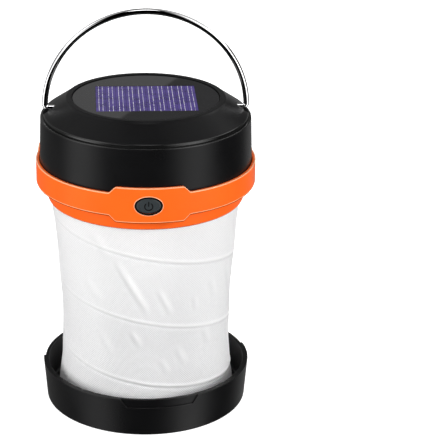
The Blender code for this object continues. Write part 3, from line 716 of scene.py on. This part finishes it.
def make_button(looks):
    """The domed button with a flange behind the ring, a pale rim of painted highlight and a dark ring of painted
    shadow in the gap round it, and its symbol.
    """
    wide, tall = BUTTON_HALF
    flange_back, flange_front, edge = -58.8, -59.6, 1.1
    sections = [(flange_back, wide + 0.9, tall + 0.7), (flange_front, wide + 0.9, tall + 0.7),
                (flange_front, wide, tall)]
    for step in range(9):
        turn = math.pi / 2 * step / 8
        inward = edge * (1 - math.cos(turn))
        sections.append((BUTTON_FACE + 0.9 * (1 - math.sin(turn)), wide - inward, tall - inward))
    # A pale rim of painted highlight round the hole, and a dark ring of painted shadow in the gap between button and
    # ring
    for name, grow, radius, look in (("button_rim_highlight", 0.9, 0.3, "edge"), ("button_gap_shadow", 0.35, 0.46, "symbol")):
        oval = [(BUTTON_X + (wide + grow) * math.cos(t), (tall + grow) * math.sin(t)) for t in oval_turns()]
        points = [(x, -math.sqrt((RING_RADIUS - 0.1) ** 2 - x * x), BUTTON_Z + z) for x, z in oval]
        tube(name, points, radius, looks[look], "head", slot="orange_plastic", closed=True)
    button = ovals("button", sections, BUTTON_X, BUTTON_Z)
    add("button_cap", button, looks["button"], "button", "power_button", slot="button_rubber")
    for name, points in power_symbol():
        tube(name, points, 0.36, looks["symbol"], "button", slot="button_rubber")


def make_flap(looks):
    """The charging flap: a curved rubber plate with a rim, a sunk face and grip ribs at its free end."""
    low, high = FLAP_BOX
    radius, thickness, fall = high.y, 1.4, 0.35
    x, z = np.meshgrid(np.linspace(low.x, high.x, 150), np.linspace(low.z, high.z, 56))
    edge = np.minimum.reduce([x - low.x, high.x - x, z - low.z, high.z - z])
    sunk = soft_step(1.0, 1.35, edge)
    rib_width, rib_insets = 0.28, (2.6, 3.9, 5.2)
    ribs = sum(np.exp(-(((x - high.x + inset) / rib_width) ** 2)) for inset in rib_insets)
    outer = radius - fall * (1 - soft_step(0, 0.4, edge)) ** 2 - fall * sunk * (1 - ribs)
    layers = [np.stack([x, np.sqrt(r**2 - x**2), z], -1) for r in (outer, np.full_like(x, radius - thickness))]
    shape = bmesh.new()
    grids = [[[shape.verts.new(point) for point in row] for row in layer] for layer in layers]
    for grid in grids:
        for here, following in zip(grid, grid[1:]):
            bridge(shape, here, following, closed=False)
    front, back = (grid[0] + [row[-1] for row in grid[1:]] + grid[-1][-2::-1] + [row[0] for row in grid[-2:0:-1]]
                   for grid in grids)
    bridge(shape, front, back)
    add("flap_plate", to_mesh("flap_plate", shape), looks["rubber"], "flap", "charging_flap", slot="black_rubber")


def power_symbol():
    """The standard power mark: a ring open at the top, and a bar in the opening."""
    radius, opening = 2.15, 36
    centre_z = BUTTON_Z - 0.3
    y = BUTTON_FACE + 0.17
    ring = []
    for i in range(33):
        turn = math.radians(90 + opening + (360 - 2 * opening) * i / 32)
        ring.append((BUTTON_X + radius * math.cos(turn), y, centre_z + radius * math.sin(turn)))
    bar = [(BUTTON_X, y, centre_z + rise) for rise in (0.1, 1.5, 2.9)]
    return [("power_ring", ring), ("power_bar", bar)]


def make_handle(looks):
    """The bent wire: a pin, an elbow and half of the bow on the right, the same mirrored on the left."""
    elbow, arc_steps = 2.2, 60
    right = [(PIN_END, 0, PIVOT_Z)]
    for step in range(9):
        turn = math.pi / 2 * step / 8
        right.append((HANDLE_HALF_WIDTH - elbow + elbow * math.sin(turn), 0,
                      PIVOT_Z + elbow - elbow * math.cos(turn)))
    first = math.asin(elbow / HANDLE_RISE)
    for step in range(1, arc_steps):
        turn = first + (math.pi / 2 - first) * step / arc_steps
        right.append((HANDLE_HALF_WIDTH * math.cos(turn), 0, PIVOT_Z + HANDLE_RISE * math.sin(turn)))
    left = [(-x, y, z) for x, y, z in reversed(right)]
    tube("handle_bail", right + [(0, 0, PIVOT_Z + HANDLE_RISE)] + left, WIRE_RADIUS, looks["chrome"], "handle",
         "carry_handle", slot="handle_steel", sides=8)


# ---------------------------------------------------------------- shade

def soft_step(low, high, value):
    """0 below low and 1 above high, eased between them."""
    t = np.clip((value - low) / (high - low), 0, 1)
    return t * t * (3 - 2 * t)


def coil_height(turn):
    """Height of the spring at a turn in degrees, flattening out on the tray's retainer."""
    turns, heights = zip(*COIL_HEIGHTS)
    level = sum(np.interp(turn + step, turns, heights) for step in (-40, -20, 0, 20, 40)) / 5
    fading = 1 - soft_step(760, 940, turn)
    return level - COIL_TILT * fading * np.sin(np.radians(turn))


def cloth_radius(z):
    """Outside radius of the smooth cloth at a height."""
    heights, radii = zip(*SHADE_PROFILE)
    near = [np.interp(z + step, heights, radii) for step in (-4, -2, 0, 2, 4)]
    return sum(near) / len(near)


def folds():
    """Slanting pulls in the cloth: (angle, height) of each end, how proud it is, and its half width.
    The first are at the front; the rest are spread round the shade by a fixed draw."""
    front = [
        (-21, 106, 0, 73, 1.0, 1.5), (5.5, 89, 16, 70, 0.7, 1.4), (31, 81, 34.5, 70, 0.35, 1.4),
        (-36, 122, -22, 104, 0.35, 2.4), (-9, 86, 2, 69, 0.3, 1.6), (-44, 92, -30, 76, 0.3, 2.2),
        (-12, 62, -4, 50, 0.5, 1.6), (19, 51, 27, 37, 0.4, 1.8), (-34, 60, -24, 44, 0.3, 2.0),
        (8, 44, 14, 33, 0.3, 1.6), (44, 90, 52, 74, 0.3, 2.0), (40, 60, 48, 44, 0.3, 2.0),
    ]
    draw = random.Random(11)
    rest = []
    for low, high in ((64, 98), (30, 60), (104, 124)):
        for i in range(9):
            angle = 62 + 26 * i + draw.uniform(-8, 8)
            top = draw.uniform(high - 8, high + 2)
            rest.append((angle, top, angle + draw.uniform(9, 17), draw.uniform(low, low + 8),
                         draw.uniform(0.2, 0.55), draw.uniform(1.7, 2.6)))
    return front + rest


def cloth_surface(angle, z):
    """Radius of the cloth's face: smooth form, spring ridges, hollows between them, and pulls. Also how much painted
    highlight each point gets on a ridge's or pull's crest, and how much painted shade in the crease beside it."""
    radius = cloth_radius(z)
    inside = soft_step(8, 13, z) * (1 - soft_step(121, 127, z))
    ridge, groove, hollow = np.zeros_like(z), np.zeros_like(z), np.zeros_like(z)
    for lap in range(-1, 4):
        turn = angle + 360 * lap
        on = (turn >= COIL_START) & (turn <= COIL_END)
        away = z - coil_height(turn)
        ridge = np.maximum(ridge, np.where(on, np.exp(-((away / 0.9) ** 2)), 0))
        groove = np.maximum(groove, np.where(on, np.exp(-(((away + 1.7) / 0.9) ** 2)), 0))
        span = coil_height(turn - 360) - coil_height(turn)
        part = np.clip(away / np.maximum(span, 1), 0, 1)
        hollow = np.maximum(hollow, np.where((away > 0) & (away < span), np.sin(np.pi * part) ** 2, 0))
    # Ridges stand less proud towards the left, and their painted highlight and shade are weaker there
    strength = 0.62 + 0.38 * np.sin(np.radians(angle) - 0.3)
    stands = 0.5 + 0.3 * np.cos(2 * np.radians(angle))
    radius = radius + inside * (stands * strength * ridge - 0.5 * stands * groove - 0.3 * hollow)
    # Painted highlight on the ridges' crests, and painted shade in the crease under each
    crest_highlight, crease_shade = inside * strength * ridge, inside * strength * groove * (1 - ridge)
    per_degree = math.radians(1) * 50    # millimetres of cloth in a degree
    for angle_a, z_a, angle_b, z_b, proud, width in folds():
        dx, dz = (angle_b - angle_a) * per_degree, z_b - z_a
        length = math.hypot(dx, dz)
        x = ((angle - angle_a + 180) % 360 - 180) * per_degree
        along = (x * dx + (z - z_a) * dz) / length**2
        away = (x * dz - (z - z_a) * dx) / length
        taper = np.sin(np.pi * np.clip(along, 0, 1)) ** 1.2
        wave = np.exp(-((away / width) ** 2)) - 0.6 * np.exp(-(((away - 2.0 * width) / width) ** 2))
        radius = radius + inside * proud * taper * wave
        # Painted highlight along each pull's crest, and painted shade to one side of it
        crest_highlight = np.maximum(crest_highlight, proud * taper * np.exp(-((away / width) ** 2)))
        crease_shade = np.maximum(crease_shade, 0.6 * proud * taper * np.exp(-(((away - 1.6 * width) / (0.8 * width)) ** 2)))
    return radius, np.clip(crest_highlight, 0, 1), np.clip(crease_shade, 0, 1)


def make_shade(looks):
    """The cloth as a thin sleeve, with its flat layout in a UV map, and the painted highlight on its crests and the
    painted shade in its creases as attributes.
    """
    around_steps, up_steps, hem = 330, 300, 0.2
    angles = np.linspace(-180, 180, around_steps, endpoint=False)
    heights = np.linspace(SHADE_LOW + hem, SHADE_TOP - hem, up_steps)
    angle, z = np.meshgrid(angles, heights)
    radius, crest_highlight, crease_shade = cloth_surface(angle, z)
    radius = radius - 0.45 * soft_step(121, 126, z)
    turn = np.radians(angle)
    points = np.stack([radius * np.sin(turn), -radius * np.cos(turn), z], -1).reshape(-1, 3) * MM
    faces = []
    for j in range(up_steps - 1):
        for i in range(around_steps):
            k = (i + 1) % around_steps
            faces.append((j * around_steps + i, j * around_steps + k,
                          (j + 1) * around_steps + k, (j + 1) * around_steps + i))
    mesh = bpy.data.meshes.new("shade_cloth")
    mesh.from_pydata(points.tolist(), [], faces)
    flat = mesh.uv_layers.new(name="flat")
    for face in mesh.polygons:
        corners = [mesh.loops[i].vertex_index for i in face.loop_indices]
        wraps = max(c % around_steps for c in corners) - min(c % around_steps for c in corners) > 1
        for loop, corner in zip(face.loop_indices, corners):
            column = corner % around_steps
            if wraps and column == 0:
                column = around_steps
            flat.data[loop].uv = (column / around_steps * GIRTH, heights[corner // around_steps] * MM)
    for name, values, most in (("crest_highlight", crest_highlight, 0.9), ("crease_shade", crease_shade, 0.45)):
        mesh.attributes.new(name, "FLOAT", "POINT").data.foreach_set("value", (values * most).ravel())
    mesh.shade_smooth()
    cloth = add("shade_cloth", mesh, looks["cloth"], "shade", "shade_fabric", slot="shade_fabric",
                even_normals=False)
    solid = cloth.modifiers.new("thickness", "SOLIDIFY")
    solid.thickness = CLOTH * MM
    solid.offset = -1
    finished = frozen(cloth)
    cloth.modifiers.clear()
    cloth.data = finished
    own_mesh(cloth)


def make_spring(looks):
    """The wire wound inside the cloth, under its ridges."""
    cloth_gap, points = 1.3, []
    for turn in np.arange(COIL_START, COIL_END + 1, 6):
        z = float(coil_height(turn))
        points.append(around(float(cloth_radius(z)) - cloth_gap - SPRING_WIRE, turn, z))
    rough = tube("coil_draft", points, SPRING_WIRE, looks["spring"], None)
    mesh = frozen(rough)
    bpy.data.objects.remove(rough)
    mesh.materials.clear()
    spring = add("coil_spring", mesh, looks["spring"], "shade", "shade_spring", slot="spring_steel",
                 even_normals=False)
    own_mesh(spring)


# ---------------------------------------------------------------- CAD pieces that stay

def dress_frame(looks):
    """The CAD pieces that show get rounded edges and their finish."""
    finishes = {
        "black_plastic": "black", "white_plastic": "white", "black_rubber": "rubber", "screw_steel": "steel",
        "circuit_board": "board", "chip_black": "chip", "socket_steel": "socket", "battery_wrap": "battery",
        "led_yellow": "phosphor", "opal_plastic": "opal", "red_wire": "red", "black_wire": "dark",
    }
    slots = {part["node"]: part["material_slot"] for part in frame["record"]["subparts"]}
    for name, node in frame["nodes"].items():
        look = finishes.get(slots[name])
        if look is None:
            continue
        for place in node.material_slots:
            place.material = looks[look]
        if not node.material_slots:
            node.data.materials.append(looks[look])
        if slots[name] in ("red_wire", "black_wire"):
            continue
        bevel = node.modifiers.new("edge", "BEVEL")
        bevel.width = 0.15 * MM
        bevel.segments = 2
        bevel.angle_limit = math.radians(40)
        bevel.limit_method = "ANGLE"


# ---------------------------------------------------------------- studio

def area_light(name, place, target, size, watts):
    """A soft light that shiny surfaces don't mirror: they mirror the surround instead."""
    lamp = bpy.data.lights.new(name, "AREA")
    lamp.shape = "RECTANGLE"
    lamp.size, lamp.size_y = size
    lamp.energy = watts
    light = bpy.data.objects.new(name, lamp)
    bpy.context.scene.collection.objects.link(light)
    light.location = place
    light.rotation_euler = (Vector(target) - Vector(place)).to_track_quat("-Z", "Y").to_euler()
    light.visible_glossy = False


def mirrored_room(room):
    """What shiny surfaces see. Round the sides, a tall bright panel left and right with a faint one beyond each:
    they dim just above the horizon and fade out overhead, and far below it the left one is dimmer and nearer the
    front. Besides these, a dim wall behind with one slanting edge, a band on each side above the dim part, a panel
    each side of the front from the horizon up, and three soft spots high up."""
    x, y, z = room.parts()
    turn = room.math("ARCTAN2", x, room.times(y, -1.0))

    def panel(low, high, soft, glow):
        """A soft-edged panel between two angles from the front, glowing this much."""
        away = room.math("ABSOLUTE", room.math("SUBTRACT", turn, math.radians((low + high) / 2)))
        half = (high - low) / 2
        return room.spread(away, math.radians(half - soft), math.radians(half + soft), glow, 0, ease=True)

    def toward(*way):
        return room.node("ShaderNodeVectorMath", room.place, way, operation="DOT_PRODUCT").outputs["Value"]

    deep = room.spread(z, -0.5, -0.42)
    sides = room.plus(room.times(panel(-92, -56, 15, 2.5), deep),
                      room.times(panel(-78, -40, 15, 1.7), room.math("SUBTRACT", 1.0, deep)))
    for extent in ((-120, -96, 12, 0.1), (35, 70, 16, 2.5), (130, 172, 14, 0.15)):
        sides = room.plus(sides, panel(*extent))
    tall = room.plus(room.spread(z, 0.0, 0.12, 1, 0.25), room.spread(z, 0.4, 0.55, 0, 0.75))
    glow = room.times(sides, room.times(tall, room.spread(z, 0.7, 0.93, 1, 0, ease=True)))
    slant = room.spread(toward(-0.5774, 0.2706, -0.7703), -0.0004, 0.0004, 0.08, 0.27)
    wall = room.times(slant, room.spread(y, 0.1, 0.6, 0, 1, ease=True))
    glow = room.plus(glow, room.times(wall, room.spread(z, -0.25, 0.05, 0.6, 1)))
    rim = room.times(room.spread(z, 0.36, 0.46), room.spread(z, 0.58, 0.68, 1, 0))
    rim = room.times(rim, room.plus(panel(-130, -55, 12, 0.5), panel(55, 130, 12, 2.2)))
    glow = room.plus(glow, rim)
    low = room.times(room.spread(z, -0.06, 0.06), room.spread(z, 0.34, 0.46, 1, 0))
    low = room.times(low, room.plus(panel(-62, -20, 6, 1.6), panel(20, 62, 6, 1.6)))
    glow = room.plus(glow, low)
    spots = (((0, -0.36, 0.933), 0.975, 0.99, 3.0), ((-0.48, 0.26, 0.84), 0.89, 0.98, 0.55),
             ((0.48, 0.26, 0.84), 0.89, 0.98, 0.65))
    for way, edge, middle, strength in spots:
        glow = room.plus(glow, room.spread(toward(*way), edge, middle, 0, strength, ease=True))
    return glow


def make_surround():
    """Pale to the camera, the mirrored room to shiny surfaces, and a plain grey light to everything else."""
    world = bpy.data.worlds.new("studio")
    bpy.context.scene.world = world
    world.use_nodes = True
    room = Graph(world.node_tree, "Generated")
    around_all = world.node_tree.nodes["Background"]
    room.tree.links.new(room.spread(room.parts()[2], -0.3, 0.1, 0.5, 0.25), around_all.inputs["Color"])
    mirrored = room.node("ShaderNodeBackground", mirrored_room(room)).outputs[0]
    backdrop = room.node("ShaderNodeBackground", (1, 1, 1, 1)).outputs[0]
    seen = room.node("ShaderNodeLightPath").outputs
    shown = room.blend(seen["Is Glossy Ray"], around_all.outputs[0], mirrored)
    shown = room.blend(seen["Is Camera Ray"], shown, backdrop)
    room.tree.links.new(shown, room.tree.nodes["World Output"].inputs["Surface"])


def make_studio():
    """A pale floor that shiny surfaces don't mirror, the surround and five soft lights."""
    scene = bpy.context.scene
    scene.view_settings.view_transform = "Standard"
    floor = bpy.data.meshes.new("studio_floor")
    floor.from_pydata([(-6, -6, 0), (6, -6, 0), (6, 6, 0), (-6, 6, 0)], [], [(0, 1, 2, 3)])
    look = Look("pale_floor", (0.62, 0.62, 0.62), 0.9, Specular_IOR_Level=0.1)
    look.set("Emission Color", (1, 1, 1, 1))
    look.set("Emission Strength", 0.86)
    ground = bpy.data.objects.new("studio_floor", floor)
    floor.materials.append(look.material)
    scene.collection.objects.link(ground)
    ground.visible_glossy = False
    ground.visible_diffuse = False
    make_surround()
    lights = (
        ("left", around(1.25, -62, 0.42), (0, 0, 0.15), (0.4, 0.8), 14),
        ("right", around(1.25, 62, 0.42), (0, 0, 0.15), (0.4, 0.8), 13),
        ("overhead", (0, 0.5, 1.7), (0, 0.1, 0.1), (1.6, 1.0), 9),
        ("fill", (0, -1.35, 0.8), (0, 0, 0.08), (1.1, 0.9), 10.4),
        ("back", (0, 1.4, 0.6), (0, 0, 0.08), (1.1, 0.9), 8),
    )
    for light in lights:
        area_light(*light)


def make_camera():
    """A long lens at the photograph's angle, turned so the lantern stands left of the middle."""
    away, height = 1.0, 0.50685
    pitch, aside = math.radians(21.81), math.radians(2.4013)
    camera = bpy.data.objects.new("camera", bpy.data.cameras.new("camera"))
    bpy.context.scene.collection.objects.link(camera)
    bpy.context.scene.camera = camera
    camera.data.sensor_width = 36
    camera.data.lens = 149.464
    camera.matrix_world = (
        Matrix.Translation((away * math.sin(CAMERA_AZIMUTH), -away * math.cos(CAMERA_AZIMUTH), height))
        @ Matrix.Rotation(CAMERA_AZIMUTH, 4, "Z")
        @ Matrix.Rotation(math.pi / 2 - pitch, 4, "X")
        @ Matrix.Rotation(-aside, 4, "Y")
    )


def main():
    make_camera()
    looks = make_looks()
    make_cap(looks)
    make_solar_disc(looks)
    make_ring(looks)
    make_tray(looks)
    make_button(looks)
    make_flap(looks)
    make_handle(looks)
    make_shade(looks)
    make_spring(looks)
    dress_frame(looks)
    make_studio()
    bpy.context.view_layer.update()


main()
